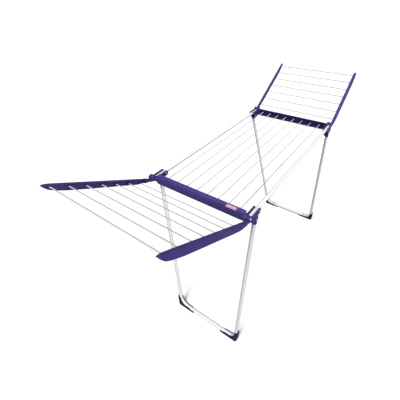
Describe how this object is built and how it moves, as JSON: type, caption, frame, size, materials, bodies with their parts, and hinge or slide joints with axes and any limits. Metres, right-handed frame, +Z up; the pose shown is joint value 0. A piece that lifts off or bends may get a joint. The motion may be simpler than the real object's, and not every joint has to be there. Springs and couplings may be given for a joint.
{
  "type": "clothes drying rack",
  "caption": "Winged clothes airer: a flat deck of lines between two rails, a wing of lines at each end and two folding U-shaped leg frames.",
  "frame": {"origin": "on the floor, under the middle of the deck", "axes": "+X along the deck towards the far end, +Y to the left side, +Z up"},
  "size_m": [1.7656, 0.5672, 1.1605],
  "materials": {
    "purple_plastic": "satin moulded plastic",
    "dark_purple_plastic": "satin moulded plastic",
    "white_tube": "gloss white coating on thin steel tube",
    "line_coating": "light grey-white coating on steel wire",
    "pin_steel": "plated"
  },
  "bodies": {
    "deck": {"left_deck_rail": "white_tube", "right_deck_rail": "white_tube", "deck_line_1": "line_coating", "deck_line_2": "line_coating", "deck_line_3": "line_coating", "deck_line_4": "line_coating", "deck_line_5": "line_coating", "deck_line_6": "line_coating", "deck_line_7": "line_coating", "deck_line_8": "line_coating", "near_end_bar": "purple_plastic", "near_left_bracket": "purple_plastic", "near_left_rail_rivet": "pin_steel", "near_left_wing_pin": "pin_steel", "near_left_leg_pin": "pin_steel", "near_right_bracket": "purple_plastic", "near_right_rail_rivet": "pin_steel", "near_right_wing_pin": "pin_steel", "near_right_leg_pin": "pin_steel", "far_end_bar": "purple_plastic", "far_left_bracket": "purple_plastic", "far_left_rail_rivet": "pin_steel", "far_left_wing_pin": "pin_steel", "far_left_leg_pin": "pin_steel", "far_right_bracket": "purple_plastic", "far_right_rail_rivet": "pin_steel", "far_right_wing_pin": "pin_steel", "far_right_leg_pin": "pin_steel"},
    "near_wing": {"near_left_wing_arm": "purple_plastic", "near_right_wing_arm": "purple_plastic", "near_wing_line_1": "line_coating", "near_wing_line_2": "line_coating", "near_wing_line_3": "line_coating", "near_wing_line_4": "line_coating", "near_wing_line_5": "line_coating", "near_wing_line_6": "line_coating", "near_wing_line_7": "line_coating"},
    "far_wing": {"far_left_wing_arm": "purple_plastic", "far_right_wing_arm": "purple_plastic", "far_wing_line_1": "line_coating", "far_wing_line_2": "line_coating", "far_wing_line_3": "line_coating", "far_wing_line_4": "line_coating", "far_wing_line_5": "line_coating", "far_wing_line_6": "line_coating", "far_wing_line_7": "line_coating"},
    "near_legs": {"near_leg_frame": "white_tube", "near_left_leg_knuckle": "purple_plastic", "near_left_foot_shoe": "dark_purple_plastic", "near_right_leg_knuckle": "purple_plastic", "near_right_foot_shoe": "dark_purple_plastic"},
    "far_legs": {"far_leg_frame": "white_tube", "far_left_leg_knuckle": "purple_plastic", "far_left_foot_shoe": "dark_purple_plastic", "far_right_leg_knuckle": "purple_plastic", "far_right_foot_shoe": "dark_purple_plastic"}
  },
  "joints": [
    {"name": "near_wing_fold", "type": "hinge", "parent": "deck", "child": "near_wing", "pos_m": [-0.482, 0, 0.944], "axis": [0, 1, 0], "range_deg": [0, 148]},
    {"name": "far_wing_fold", "type": "hinge", "parent": "deck", "child": "far_wing", "pos_m": [0.482, 0, 0.944], "axis": [0, -1, 0], "range_deg": [0, 148]},
    {"name": "near_legs_fold", "type": "hinge", "parent": "deck", "child": "near_legs", "pos_m": [-0.437, 0, 0.905], "axis": [0, -1, 0], "range_deg": [0, 97.8]},
    {"name": "far_legs_fold", "type": "hinge", "parent": "deck", "child": "far_legs", "pos_m": [0.437, 0, 0.905], "axis": [0, 1, 0], "range_deg": [0, 93.5]}
  ]
}
